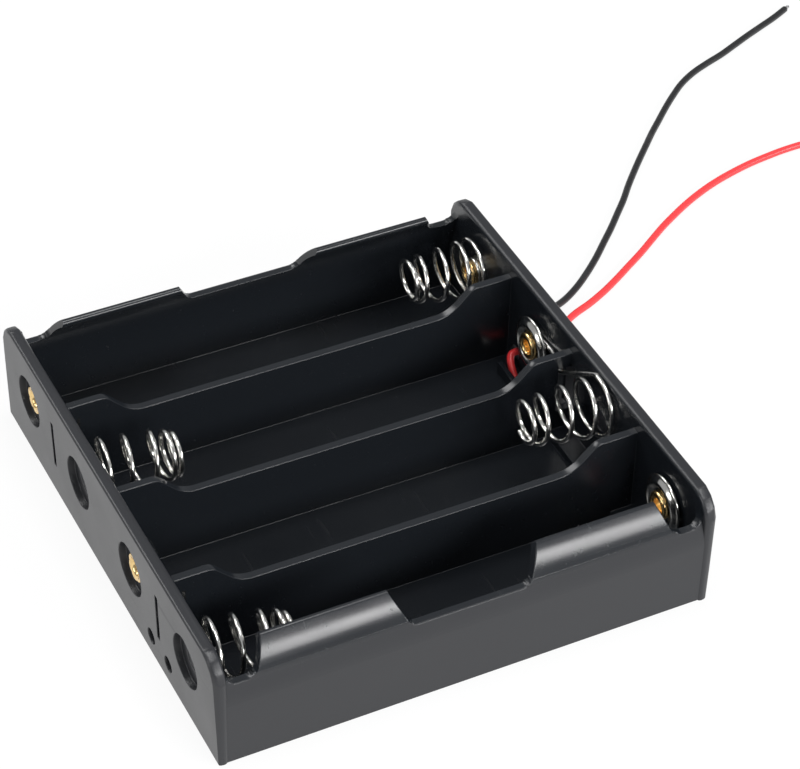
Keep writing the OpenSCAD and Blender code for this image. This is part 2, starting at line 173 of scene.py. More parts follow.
@dataclass
class Surface:
    """A grid of points with quads between them, closed on itself where asked."""

    points: np.ndarray
    wrap_rows: bool = False
    wrap_columns: bool = True
    caps: bool = False

    def faces(self) -> tuple[np.ndarray, np.ndarray]:
        """Quads as vertex numbers, and their corners' place on the grid from 0 to 1."""
        rows, columns = self.points.shape[:2]
        i, j = np.meshgrid(np.arange(rows - (not self.wrap_rows)),
                           np.arange(columns - (not self.wrap_columns)), indexing="ij")
        corners_i = np.stack([i, i, i + 1, i + 1], -1).reshape(-1, 4)
        corners_j = np.stack([j, j + 1, j + 1, j], -1).reshape(-1, 4)
        quads = (corners_i % rows) * columns + corners_j % columns
        return quads, np.stack([corners_i / rows, corners_j / columns], -1)


def make_piece(name: str, surfaces: list[Surface], material: bpy.types.Material) -> bpy.types.Object:
    """One mesh of several surfaces, smooth, with outward faces and a UV map of grid places.

    Args:
        name: the piece's name.
        surfaces: grids in millimetres.
        material: its finish.
    Returns:
        The linked object, in metres, at the origin.
    """
    points, quads, uv, caps, first = [], [], [], [], 0
    for s in surfaces:
        face, place = s.faces()
        rows, columns = s.points.shape[:2]
        points.append(s.points.reshape(-1, 3))
        quads.append(face + first)
        uv.append(place.reshape(-1, 2))
        if s.caps:
            caps += [np.arange(columns)[::-1] + first, np.arange(columns) + first + (rows - 1) * columns]
        first += rows * columns
    mesh = bpy.data.meshes.new(name)
    mesh.from_pydata(np.vstack(points) * MM, [], [*np.vstack(quads).tolist(), *[c.tolist() for c in caps]])
    layer = mesh.uv_layers.new(name="UVMap")
    flat = np.zeros((len(mesh.loops), 2))
    placed = np.vstack(uv)
    flat[: len(placed)] = placed
    layer.data.foreach_set("uv", flat.ravel())
    body = bmesh.new()
    body.from_mesh(mesh)
    bmesh.ops.recalc_face_normals(body, faces=body.faces)
    body.to_mesh(mesh)
    body.free()
    mesh.shade_smooth()
    mesh.set_sharp_from_angle(angle=np.radians(40))
    mesh.materials.append(material)
    piece = bpy.data.objects.new(name, mesh)
    bpy.context.scene.collection.objects.link(piece)
    return piece


def tube(path: np.ndarray, radius: float | np.ndarray, sides: int, reference: np.ndarray,
         rounded: float = 0.0) -> Surface:
    """A round tube: each ring is path + r cos(a) normal + r sin(a) binormal.

    Args:
        path: rows of coordinates.
        radius: one radius, or one for each row.
        sides: corners of a ring.
        reference: a direction that the path never runs along.
        rounded: radius of the small rounding at both cut ends.
    Returns:
        The surface, capped at both ends.
    """
    heading, normal, binormal = frames(path, reference)
    r = np.broadcast_to(radius, len(path)).astype(float)
    if rounded:
        start = path[0] + heading[0] * np.array([0.0, 0.35, 1.0])[:, None] * rounded
        end = path[-1] - heading[-1] * np.array([1.0, 0.35, 0.0])[:, None] * rounded
        small = np.array([rounded, 0.3 * rounded, 0.0])
        path = np.vstack([start, path[1:-1], end])
        normal = np.vstack([[normal[0]] * 3, normal[1:-1], [normal[-1]] * 3])
        binormal = np.vstack([[binormal[0]] * 3, binormal[1:-1], [binormal[-1]] * 3])
        r = np.concatenate([r[0] - small, r[1:-1], r[-1] - small[::-1]])
    a = np.linspace(0, 2 * np.pi, sides, endpoint=False)[None, :, None]
    ring = np.cos(a) * normal[:, None] + np.sin(a) * binormal[:, None]
    return Surface(path[:, None] + r[:, None, None] * ring, caps=True)


def revolved(profile: np.ndarray, wall: Wall, n: int, segments: int) -> Surface:
    """A closed profile turned about a bay's contact axis: y and z are r cos(a) and r sin(a).

    Args:
        profile: rows of distance from the wall and radius.
        wall: the end wall.
        n: the bay.
        segments: corners round the axis.
    Returns:
        The surface, closed both ways.
    """
    a = np.linspace(0, 2 * np.pi, segments, endpoint=False)[None, :]
    x = np.broadcast_to(profile[:, :1], (len(profile), segments))
    grid = np.stack([x, bay_y(n) + profile[:, 1:] * np.cos(a), AXIS_Z + profile[:, 1:] * np.sin(a)], -1)
    return Surface(on_wall(wall, grid), wrap_rows=True)


def bend(centre: tuple[float, float], radii: tuple[float, float], start: float, end: float,
         steps: int = 7) -> np.ndarray:
    """An elliptic arc in a profile: distance + ra cos(t), radius + rb sin(t).

    Args:
        centre: distance from the wall and radius of its middle.
        radii: its half sizes along both.
        start: first angle in degrees.
        end: last angle in degrees.
        steps: its points.
    Returns:
        Rows of distance and radius.
    """
    t = np.radians(np.linspace(start, end, steps))
    return np.stack([centre[0] + radii[0] * np.cos(t), centre[1] + radii[1] * np.sin(t)], -1)


# ---- shader arithmetic ----


class Field:
    """A shader value that can be used in Python arithmetic."""

    def __init__(self, nodes: "Nodes", socket: bpy.types.NodeSocket) -> None:
        """Wraps one output socket of a node tree."""
        self.nodes, self.socket = nodes, socket

    def _math(self, operation: str, *values: "Field | float") -> "Field":
        """A Math node on this value and others."""
        return self.nodes.math(operation, *values)

    def __add__(self, other: "Field | float") -> "Field":
        """Sum."""
        return self._math("ADD", self, other)

    def __radd__(self, other: float) -> "Field":
        """Sum with a number first."""
        return self._math("ADD", other, self)

    def __sub__(self, other: "Field | float") -> "Field":
        """Difference."""
        return self._math("SUBTRACT", self, other)

    def __rsub__(self, other: float) -> "Field":
        """Difference from a number."""
        return self._math("SUBTRACT", other, self)

    def __mul__(self, other: "Field | float") -> "Field":
        """Product."""
        return self._math("MULTIPLY", self, other)

    def __rmul__(self, other: float) -> "Field":
        """Product with a number first."""
        return self._math("MULTIPLY", other, self)

    def absolute(self) -> "Field":
        """Value without its sign."""
        return self._math("ABSOLUTE", self)

    def largest(self, other: "Field | float") -> "Field":
        """The larger of two values."""
        return self._math("MAXIMUM", self, other)

    def step(self, low: float, high: float) -> "Field":
        """0 below low, 1 above high and smooth between them."""
        node = self.nodes.node("ShaderNodeMapRange", {"interpolation_type": "SMOOTHSTEP"},
                               {"Value": self, "From Min": low, "From Max": high})
        return Field(self.nodes, node.outputs["Result"])


class Nodes:
    """The node tree of a material or of the world."""

    def __init__(self, tree: bpy.types.NodeTree) -> None:
        """Works on an existing tree."""
        self.tree = tree

    def node(self, kind: str, settings: dict[str, object],
             inputs: dict[str | int, object]) -> bpy.types.Node:
        """Adds a node.

        Args:
            kind: Blender's node type.
            settings: attributes of the node, set first.
            inputs: a value, Field or socket for each input.
        Returns:
            The node.
        """
        made = self.tree.nodes.new(kind)
        for key, value in settings.items():
            setattr(made, key, value)
        for key, value in inputs.items():
            self.feed(made.inputs[key], value)
        return made

    def feed(self, target: bpy.types.NodeSocket, value: object) -> None:
        """Sets or links one input socket."""
        if isinstance(value, Field):
            self.tree.links.new(value.socket, target)
        elif isinstance(value, bpy.types.NodeSocket):
            self.tree.links.new(value, target)
        else:
            target.default_value = value

    def math(self, operation: str, *values: Field | float) -> Field:
        """A Math node on one or two values."""
        node = self.node("ShaderNodeMath", {"operation": operation}, dict(enumerate(values)))
        return Field(self, node.outputs[0])


class Shader(Nodes):
    """One material and the nodes in it."""

    def __init__(self, name: str) -> None:
        """Starts a material with a plain surface shader."""
        self.material = bpy.data.materials.new(name)
        self.material.use_nodes = True
        super().__init__(self.material.node_tree)
        self.surface = self.tree.nodes["Principled BSDF"]

    def place(self) -> bpy.types.NodeSocket:
        """Object coordinates, in metres."""
        return self.node("ShaderNodeTexCoord", {}, {}).outputs["Object"]

    def stretched(self, source: bpy.types.NodeSocket,
                  scale: tuple[float, float, float]) -> bpy.types.NodeSocket:
        """Coordinates scaled along each axis."""
        return self.node("ShaderNodeMapping", {}, {"Vector": source, "Scale": scale}).outputs[0]

    def noise(self, where: bpy.types.NodeSocket, scale: float, detail: float = 2.0) -> Field:
        """Smooth noise from 0 to 1."""
        node = self.node("ShaderNodeTexNoise", {}, {"Vector": where, "Scale": scale, "Detail": detail})
        return Field(self, node.outputs[0])

    def mix(self, share: Field, low: tuple[float, ...], high: tuple[float, ...] | bpy.types.NodeSocket,
            ) -> bpy.types.NodeSocket:
        """Colour between two colours.

        Args:
            share: 0 for the first colour, 1 for the second.
            low: the first colour.
            high: the second colour, or a colour socket.
        Returns:
            The colour's socket.
        """
        node = self.node("ShaderNodeMix", {"data_type": "RGBA"}, {0: share, 6: low, 7: high})
        return node.outputs[2]

    def bump(self, height: Field, distance: float, strength: float = 1.0) -> None:
        """Feeds a height in metres times distance to the surface's normal."""
        node = self.node("ShaderNodeBump", {}, {"Height": height, "Distance": distance, "Strength": strength})
        self.feed(self.surface.inputs["Normal"], node.outputs[0])

    def dress(self, **inputs: object) -> bpy.types.Material:
        """Sets the surface shader's inputs and returns the material."""
        for key, value in inputs.items():
            self.feed(self.surface.inputs[key.replace("_", " ")], value)
        return self.material


@dataclass(frozen=True)
class MouldedPlastic:
    """Black plastic: polished inside the bays, finely textured outside; its colour is darker inside the bays,
    which is painted shade.
    """

    outside: tuple[float, float, float, float] = (0.017, 0.018, 0.021, 1)
    # inside: the same plastic given a darker colour in the bays, painted shade
    inside: tuple[float, float, float, float] = (0.0100, 0.0120, 0.0150, 1)
    dust: tuple[float, float, float, float] = (0.10, 0.10, 0.105, 1)

    def build(self) -> bpy.types.Material:
        """Texture, flow lines, scuffs and dust, with another polish inside than outside; the darker colour
        inside is painted shade.
        """
        s = Shader("moulded_plastic")
        where = s.place()
        axes = s.node("ShaderNodeSeparateXYZ", {}, {0: where}).outputs
        x, y = Field(s, axes[0]).absolute(), Field(s, axes[1]).absolute()
        outer = x.step(0.0366, 0.0368).largest(y.step(0.0386, 0.0389))
        grain = s.noise(where, 5200, 3)
        flow = s.noise(s.stretched(where, (14, 160, 160)), 1.0, 3)
        cloud = s.noise(where, 90, 3)
        scuff = s.noise(s.stretched(where, (900, 60, 900)), 1.0, 2).step(0.66, 0.74)
        speck = s.noise(where, 1500, 1).step(0.79, 0.82)
        # the darker inside colour is painted shade in the bays; the outside colour is the plastic's own
        shaded_base = s.mix(outer, self.inside, self.outside)
        colour = s.mix(speck * 0.22, shaded_base, self.dust)
        rough = 0.24 + outer * 0.13 + (flow - 0.5) * 0.06 + (cloud - 0.5) * 0.10 + scuff * 0.06 + speck * 0.1
        s.bump(grain * (0.35 + outer * 0.65) + flow * 0.4, 0.000012)
        return s.dress(Base_Color=colour, Roughness=rough, IOR=1.5)


@dataclass(frozen=True)
class PlatedMetal:
    """A bright metal with drawn or turned lines, small stains and a duller tarnish."""

    name: str
    bright: tuple[float, float, float, float]
    dull: tuple[float, float, float, float]
    rough: float
    lines: tuple[float, float, float]

    def build(self) -> bpy.types.Material:
        """Lines follow the piece's own grid; stains and tarnish lie in its space."""
        s = Shader(self.name)
        where = s.place()
        grid = s.node("ShaderNodeTexCoord", {}, {}).outputs["UV"]
        drawn = s.noise(s.stretched(grid, self.lines), 1.0, 2)
        stain = s.noise(where, 900, 3).step(0.45, 0.75)
        grime = s.noise(where, 260, 2).step(0.5, 0.8)
        colour = s.mix(stain * 0.45 + grime * 0.2, self.bright, self.dull)
        s.bump(drawn, 0.000010)
        rough = self.rough + (drawn - 0.5) * 0.12 + stain * 0.10
        return s.dress(Base_Color=colour, Roughness=rough, Metallic=1.0)


@dataclass(frozen=True)
class Insulation:
    """Soft plastic insulation with faint lines from its die and a little dirt."""

    name: str
    colour: tuple[float, float, float, float]
    dirt: tuple[float, float, float, float]
    rough: float

    def build(self) -> bpy.types.Material:
        """Lines run along the lead, dirt lies in patches."""
        s = Shader(self.name)
        where = s.place()
        grid = s.node("ShaderNodeTexCoord", {}, {}).outputs["UV"]
        lines = s.noise(s.stretched(grid, (6, 26, 1)), 1.0, 2)
        patch = s.noise(where, 240, 3).step(0.5, 0.85)
        skin = s.noise(where, 3500, 2)
        s.bump(lines + skin * 0.6, 0.000014)
        rough = self.rough + (lines - 0.5) * 0.12 + patch * 0.12
        return s.dress(Base_Color=s.mix(patch * 0.35, self.colour, self.dirt), Roughness=rough, IOR=1.52)


@dataclass(frozen=True)
class Solder:
    """Tin solder: bright where it flowed, frosted where it cooled."""

    bright: tuple[float, float, float, float] = (0.72, 0.72, 0.72, 1)
    frosted: tuple[float, float, float, float] = (0.42, 0.42, 0.43, 1)

    def build(self) -> bpy.types.Material:
        """Frosting in small patches."""
        s = Shader("solder")
        frost = s.noise(s.place(), 1400, 3).step(0.4, 0.65)
        s.bump(s.noise(s.place(), 2600, 2), 0.00002)
        return s.dress(Base_Color=s.mix(frost, self.bright, self.frosted), Roughness=0.22 + frost * 0.25,
                       Metallic=1.0)


@dataclass
class Finishes:
    """Every finish of the holder, built once."""

    plastic: bpy.types.Material = field(default_factory=lambda: MouldedPlastic().build())
    spring: bpy.types.Material = field(default_factory=lambda: PlatedMetal(
        "spring_steel", (0.86, 0.85, 0.82, 1), (0.50, 0.47, 0.42, 1), 0.16, (2, 14, 1)).build())
    plate: bpy.types.Material = field(default_factory=lambda: PlatedMetal(
        "contact_plate", (0.84, 0.83, 0.79, 1), (0.55, 0.53, 0.48, 1), 0.13, (40, 3, 1)).build())
    brass: bpy.types.Material = field(default_factory=lambda: PlatedMetal(
        "eyelet_brass", (0.88, 0.64, 0.30, 1), (0.50, 0.31, 0.12, 1), 0.20, (30, 4, 1)).build())
    black: bpy.types.Material = field(default_factory=lambda: Insulation(
        "black_insulation", (0.012, 0.012, 0.013, 1), (0.05, 0.05, 0.05, 1), 0.36).build())
    red: bpy.types.Material = field(default_factory=lambda: Insulation(
        "red_insulation", (0.86, 0.045, 0.05, 1), (0.62, 0.03, 0.03, 1), 0.34).build())
    solder: bpy.types.Material = field(default_factory=lambda: Solder().build())


# ---- sub-assemblies ----


def carried(piece: bpy.types.Object, slot: Slot, *nodes: str) -> bpy.types.Object:
    """Lets a piece ride on the tray and hides the CAD nodes it stands for."""
    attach(piece, "tray")
    if nodes:
        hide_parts(*nodes)
    log.info("%s on tray", piece.name)
    return piece


@dataclass
class Housing:
    """The moulded tray, with its edges rounded as the mould leaves them."""

    edge: float = 0.13
    sharper_than: float = 34.0
    shortest: float = 0.1
    same_point: float = 2e-6
    flat_within: float = 0.3
    slot_half: float = 1.65
    slot_shown: float = 0.4
    slot_z: tuple[float, float] = (5.8, 14.0)
    recess_x: float = 37.479
    recess_deeper: float = 0.35
    near: float = 0.01

    def refine(self, points: np.ndarray) -> np.ndarray:
        """Narrows the outer mouth of the link slots and deepens the round recesses.

        The solid's slots are 3.3 mm wide, which is wider than they should be. Only this mesh is
        narrowed, so it differs from the solid there.

        Args:
            points: the housing's vertices in millimetres.
        Returns:
            The vertices with those of the slots' sides and the recesses' floors shifted.
        """
        x, y, z = np.abs(points[:, 0]), points[:, 1].copy(), points[:, 2]
        low, high = self.slot_z
        within = (x > END_IN + 1.4) & (z > low - 0.1) & (z < high + 0.1)
        for rib in (rib_y(1), rib_y(2), rib_y(3)):
            for side in (-1, 1):
                at_side = within & (np.abs(y - rib - side * self.slot_half) < self.near)
                points[at_side, 1] = rib + side * self.slot_shown
        floor = np.abs(x - self.recess_x) < self.near
        points[floor, 0] -= np.sign(points[floor, 0]) * self.recess_deeper
        return points

    def crease(self, edge: bmesh.types.BMEdge) -> float:
        """1 for an edge that gets rounded: sharp, long enough and not on the end walls' round rims."""
        if not edge.is_manifold or edge.calc_length() < self.shortest * MM:
            return 0.0
        x, y, z = (abs(v) / MM for v in (edge.verts[0].co + edge.verts[1].co) / 2)
        rim = x > 36.2 and ((z > 13.5 and y > 30) or z > 17.5 or y > 37.5)
        return float(not rim and edge.calc_face_angle() > np.radians(self.sharper_than))

    def build(self, finishes: Finishes) -> None:
        """Copies the CAD housing, joins its triangles and rounds its edges."""
        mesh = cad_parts["housing"].data.copy()
        body = bmesh.new()
        body.from_mesh(mesh)
        bmesh.ops.remove_doubles(body, verts=body.verts, dist=self.same_point)
        bmesh.ops.dissolve_degenerate(body, edges=body.edges, dist=self.same_point)
        bmesh.ops.dissolve_limit(body, angle_limit=np.radians(self.flat_within), verts=body.verts,
                                 edges=body.edges, delimit={"NORMAL"})
        weight = body.edges.layers.float.new("bevel_weight_edge")
        for edge in body.edges:
            edge[weight] = self.crease(edge)
            turned = edge.is_manifold and edge.calc_face_angle() > np.radians(self.sharper_than)
            edge.smooth = not turned or edge[weight] > 0
        body.to_mesh(mesh)
        body.free()
        points = np.empty(3 * len(mesh.vertices))
        mesh.vertices.foreach_get("co", points)
        mesh.vertices.foreach_set("co", (self.refine(points.reshape(-1, 3) / MM) * MM).ravel())
        mesh.shade_smooth()
        mesh.materials.clear()
        mesh.materials.append(finishes.plastic)
        tray = bpy.data.objects.new("moulded_tray", mesh)
        bpy.context.scene.collection.objects.link(tray)
        rounding = tray.modifiers.new("rounded edges", "BEVEL")
        rounding.width, rounding.segments = self.edge * MM, 2
        rounding.limit_method = "WEIGHT"
        rounding.use_clamp_overlap = False
        tray.modifiers.new("flat faces", "WEIGHTED_NORMAL").keep_sharp = True
        carried(tray, Slot.PLASTIC, "housing")
        self.skins(finishes)

    def skins(self, finishes: Finishes) -> None:
        """Closes the right wall's slot and the bores that hold no eyelet, which no solid closes."""
        x = END_IN + 0.4
        self.skin("slot_skin", (x, rib_y(2), sum(self.slot_z) / 2), (0.2, 1.3, 4.12), 0.2, finishes)
        for side, bay in ((1, 3), (-1, 2), (-1, 4)):
            self.skin(f"bore_skin_{bay}", (side * x, bay_y(bay), AXIS_Z), (0.15, 1.83, 1.83), 1.0, finishes)

    def skin(self, name: str, middle: tuple[float, float, float], half: tuple[float, float, float],
             corner: float, finishes: Finishes) -> None:
        """A thin skin of plastic across an opening of the wall.

        Args:
            name: the piece's name.
            middle: its centre in millimetres.
            half: its half sizes in millimetres.
            corner: 1 for a round outline; nearer 0 the squarer it is.
            finishes: the finishes.
        """
        square = 0.2
        u = np.linspace(0, np.pi, 13)[:, None]
        v = np.linspace(0, 2 * np.pi, 49)[None, :-1]

        def pushed(wave: np.ndarray, power: float) -> np.ndarray:
            """A wave pushed towards -1 and 1."""
            return np.sign(wave) * np.abs(wave) ** power

        flat = pushed(np.sin(u), square)
        shape = np.stack([pushed(np.cos(u), square) * np.ones_like(v), flat * pushed(np.cos(v), corner),
                          flat * pushed(np.sin(v), corner)], -1)
        grid = np.array(middle) + shape * np.array(half)
        carried(make_piece(name, [Surface(grid, caps=True)], finishes.plastic), Slot.PLASTIC)


@dataclass
class Spring:
    """A conical spring bent from one wire; all but the first reach the next bay's eyelet."""

    number: int
    rise: float
    lift: float
    lean: float
    length: float = 12.94
    turns: float = 4.9
    seat: float = FIT
    close_base: float = 0.66
    close_tip: float = 1.0
    tip_turns: float = 1.0
    tip_sharpness: int = 2
    base_r: float = 4.8
    tip_r: float = 3.0

    @property
    def wall(self) -> Wall:
        """The end wall that it stands on."""
        return Wall.RIGHT if self.number % 2 else Wall.LEFT

    def coil(self, start: float, seat: float) -> np.ndarray:
        """The turns: the radius shrinks evenly, and the rise is the running sum of the pitch, which
        is 1 less a bell curve at each end.

        Args:
            start: angle of the first turn's start, in degrees.
            seat: distance of the wire's back from the wall.
        Returns:
            Rows of distance from the wall, y and z.
        """
        t = np.linspace(0, 1, round(self.turns * 18) + 1)
        n = self.turns
        open_up = (1 - self.close_base * np.exp(-((t * n) ** 2))
                   - self.close_tip * np.exp(-(((1 - t) * n / self.tip_turns) ** self.tip_sharpness)))
        run = np.concatenate([[0.0], np.cumsum((open_up[1:] + open_up[:-1]) / 2)])
        run /= run[-1]
        r = self.base_r + (self.tip_r - self.base_r) * t
        a = np.radians(start + self.wall.value * 360 * self.turns * t)
        x = seat + WIRE_D / 2 + (self.length - seat - WIRE_D) * run
        y = bay_y(self.number) + self.lean * t + r * np.cos(a)
        return np.stack([x, y, AXIS_Z + self.rise + self.lift * t + r * np.sin(a)], -1)

    @staticmethod
    def touch(centre: tuple[float, float], r: float, q: tuple[float, float], sense: int) -> float:
        """Angle at which a line from q touches a circle, on the side that sense names.

        Args:
            centre: the circle's y and z.
            r: its radius.
            q: the point's y and z.
            sense: 1 or -1.
        Returns:
            The angle in degrees.
        """
        dy, dz = q[0] - centre[0], q[1] - centre[1]
        return float(np.degrees(np.arctan2(dz, dy) + sense * np.arccos(r / np.hypot(dy, dz))))

    def linked(self) -> np.ndarray:
        """Loop round the next bay's eyelet, tail past the rib, then the turns."""
        e, n, x = self.wall.value, self.number, WIRE_D / 2 + FIT
        window = (rib_y(n - 1), 13.425 if e > 0 else 6.375)
        at_loop = self.touch((bay_y(n - 1), AXIS_Z), LOOP_R, window, -e)
        at_coil = self.touch((bay_y(n), AXIS_Z + self.rise), self.base_r, window, e)
        a = np.radians(at_loop - e * 20 * np.arange(14, -1, -1))
        loop = np.stack([np.full_like(a, x), bay_y(n - 1) + LOOP_R * np.cos(a),
                         AXIS_Z + LOOP_R * np.sin(a)], -1)
        clear = loop[-1] + 0.52 * (np.array([x, *window]) - loop[-1])
        high = 2.1 * WIRE_D
        tail = np.array([clear, [high, window[0] + 0.7, window[1]], [high, window[0] - 0.7, window[1]]])
        return np.vstack([loop, tail, self.coil(at_coil, self.seat)])

    def clamped(self) -> np.ndarray:
        """Loop under its own eyelet, a spiral outwards, then the turns."""
        seat, start, spiral, y = TAG_T + 2 * FIT, 14, 160, bay_y(1)
        x = seat + WIRE_D / 2
        a = np.radians(start - spiral - 20 * np.arange(14, 0, -1))
        loop = np.stack([np.full_like(a, x), y + LOOP_R * np.cos(a), AXIS_Z + LOOP_R * np.sin(a)], -1)
        t = np.arange(9) / 9
        s = t * t * (3 - 2 * t)
        r, a = LOOP_R + (self.base_r - LOOP_R) * s, np.radians(start - spiral * (1 - t))
        out = np.stack([np.full_like(a, x), y + r * np.cos(a), AXIS_Z + self.rise * s + r * np.sin(a)], -1)
        return np.vstack([loop, out, self.coil(start, seat)])

    def build(self, finishes: Finishes) -> None:
        """Sweeps the wire and hides the CAD spring."""
        route = on_wall(self.wall, self.clamped() if self.number == 1 else self.linked())
        path = smooth_path(route, 4)
        wire = tube(path, WIRE_D / 2, 14, np.array([1.0, 0, 0]), rounded=0.07)
        piece = make_piece(f"spring_wire_{self.number}", [wire], finishes.spring)
        y, e = bay_y(self.number), self.wall.value
        e * END_IN * MM
        y * MM
        e * (END_IN - BLEND_REACH) * MM
        y * MM
        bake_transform(piece)
        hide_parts(f"spring_{self.number}")
        log.info("%s between tray and coil_%d", piece.name, self.number)


@dataclass
class Contact:
    """A pressed disc held by a brass eyelet, at the end of a bay without a spring."""

    bay: int
    rim_r: float = 4.6
    ring_h: float = 0.7
    thick: float = 0.35

    @property
    def wall(self) -> Wall:
        """The end wall across from the bay's spring."""
        return Wall.LEFT if self.bay % 2 else Wall.RIGHT

    @property
    def seat(self) -> float:
        """Distance of the disc's back from the wall: on the link wire, or on the tag."""
        return TAG_T + FIT if self.bay == 4 else WIRE_D + 2 * FIT

    def disc(self) -> np.ndarray:
        """Section of the disc: a flat hub, then a ring raised as sin squared, then the rolled-off rim."""
        hub_r = 2.3
        r = np.concatenate([[BARREL_R + 0.06], np.linspace(hub_r, self.rim_r, 22)])
        t = np.clip((r - hub_r) / (self.rim_r - hub_r), 0, 1)
        height = self.seat + self.ring_h * np.sin(np.pi * t) ** 2 * (1 - 0.15 * t)
        front = np.stack([height + self.thick, r], -1)
        front[-1] -= (0.06, 0.05)
        front = np.vstack([front[:1] - (0.05, 0.0), front[:1] + (0.0, 0.06), front[1:]])
        back = np.stack([height, r], -1)[::-1]
        back[0] += (0.05, -0.03)
        return np.vstack([front, [[self.seat + self.thick - 0.14, self.rim_r]],
                          [[self.seat + 0.12, self.rim_r]], back])

    def build(self, finishes: Finishes) -> None:
        """Builds the disc and its eyelet."""
        disc = make_piece(f"contact_dish_{self.bay}", [revolved(self.disc(), self.wall, self.bay, 96)],
                          finishes.plate)
        carried(disc, Slot.PLATE, f"contact_disc_{self.bay}")
        Eyelet(self.bay, self.wall, self.seat + self.thick, f"eyelet_{self.bay}").build(finishes)


@dataclass
class Eyelet:
    """A tubular rivet: rolled head inside, a tail split and spread in the recess outside."""

    bay: int
    wall: Wall
    seat: float
    node: str
    petals: int = 6

    def profile(self) -> np.ndarray:
        """Section from the bore over the rolled head, down the barrel and round the tail."""
        top = self.seat + FIT + 0.45
        return np.vstack([
            [[TAIL + 0.5, 1.15], [0.0, 1.15], [self.seat * 0.6, 1.15], [top - 0.12, 1.16]],
            bend((top, 1.68), (0.45, 0.50), 255, 360, 8),
            bend((top, 1.68), (0.45, 0.52), 15, 150, 10),
            [[self.seat + FIT, 1.86], [self.seat + FIT, 1.6]],
            [[self.seat, BARREL_R], [0.0, BARREL_R], [TAIL + 0.1, BARREL_R]],
            [[TAIL - 0.02, 1.62], [TAIL - 0.08, 1.95]],
            bend((TAIL - 0.26, 2.12), (0.18, 0.24), 60, 180, 7),
            [[TAIL - 0.40, 1.80], [TAIL - 0.30, 1.50], [TAIL - 0.10, 1.28], [TAIL + 0.18, 1.17]],
        ])

    def build(self, finishes: Finishes) -> None:
        """Turns the section and splits the tail: its radius dips between the petals."""
        section = self.profile()
        surface = revolved(section, self.wall, self.bay, 96)
        a = np.linspace(0, 2 * np.pi, 96, endpoint=False)[None, :]
        spread = np.clip((TAIL - section[:, :1]) / 0.3, 0, 1) * np.clip((section[:, 1:] - 1.2) / 0.8, 0, 1)
        split = np.abs(np.sin(a * self.petals / 2 + self.bay)) ** 0.35
        uneven = 0.10 * np.sin(2 * a + 1.3 * self.bay) + 0.06 * np.sin(5 * a)
        shrink = 1 - spread * (0.24 * (1 - split) + 0.05 - 0.21 * uneven)
        centre = np.array([bay_y(self.bay), AXIS_Z])
        surface.points[..., 1:] = centre + (surface.points[..., 1:] - centre) * shrink[..., None]
        piece = make_piece(f"rivet_{self.node}", [surface], finishes.brass)
        carried(piece, Slot.BRASS, self.node)


BLACK_Y, RED_Y, HOLE_Z = PITCH + 3, PITCH - 3, 3.5
EXIT_X = END_IN + 1.5 + 0.5 / 18.8 * HOLE_Z
TAG_X = END_IN - TAG_T - LEAD_D / 2 - FIT
DUCT_X = END_IN - 0.4 - LEAD_D / 2 - 0.7
DUCT_Z = LEAD_D / 2 + 0.1
LIE = LEAD_D / 2

INNER_BLACK = [
    (EXIT_X, BLACK_Y, HOLE_Z), (END_IN, BLACK_Y, HOLE_Z), (END_IN - 0.7, BLACK_Y + 0.25, HOLE_Z),
    (TAG_X, BLACK_Y + 1.1, HOLE_Z), (TAG_X, BLACK_Y + 2.6, 3.2), (TAG_X, BLACK_Y + 4, 2.9),
    (TAG_X, bay_y(1) - 1.5, 3.1), (TAG_X, bay_y(1) - 0.5, 3.7), (TAG_X, bay_y(1) - 0.1, 4.5),
    (TAG_X, bay_y(1), 5.2)]
INNER_RED = [
    (EXIT_X, RED_Y, HOLE_Z), (END_IN, RED_Y, HOLE_Z), (END_IN - 0.7, RED_Y - 0.2, 3.4),
    (END_IN - 1.15, RED_Y - 0.8, 3.05), (DUCT_X + 0.25, RED_Y - 1.7, 2.5), (DUCT_X + 0.1, RED_Y - 2.7, 1.9),
    (DUCT_X, RED_Y - 3.7, 1.3), (DUCT_X, RED_Y - 4.8, 0.85), (DUCT_X, RED_Y - 6, DUCT_Z),
    (DUCT_X, rib_y(2), DUCT_Z), (DUCT_X, rib_y(3), DUCT_Z), (DUCT_X, bay_y(4) + 3, DUCT_Z),
    (DUCT_X, bay_y(4) + 1.6, 1), (DUCT_X + 0.1, bay_y(4) + 0.7, 1.8), (TAG_X, bay_y(4) + 0.2, 2.8),
    (TAG_X, bay_y(4), 3.9), (TAG_X, bay_y(4), 5)]
ROUTE_BLACK = [
    (EXIT_X, BLACK_Y, HOLE_Z), (EXIT_X + 1.2, BLACK_Y, HOLE_Z), (41.6, 22.9, 3.3),
    (44.7, 24.0, 2.5), (48.3, 25.7, 1.4), (51.7, 27.6, 0.7), (55.1, 29.8, LIE),
    (58.3, 32.3, LIE), (61.5, 35.1, LIE), (64.6, 38.1, LIE), (67.5, 40.9, LIE),
    (70.3, 43.8, LIE), (73.1, 46.7, LIE), (75.8, 49.8, LIE), (78.5, 52.7, LIE),
    (81.3, 55.6, LIE), (84.1, 58.4, LIE), (86.9, 61.2, LIE), (89.8, 63.9, LIE),
    (92.8, 66.7, LIE), (95.8, 69.3, LIE), (99.0, 71.8, LIE), (102.5, 73.8, LIE),
    (106.2, 75.3, LIE), (109.9, 76.6, LIE), (113.6, 78.2, LIE), (117.3, 79.8, LIE),
    (121.0, 81.3, LIE), (124.7, 82.8, LIE), (128.9, 84.8, LIE)]
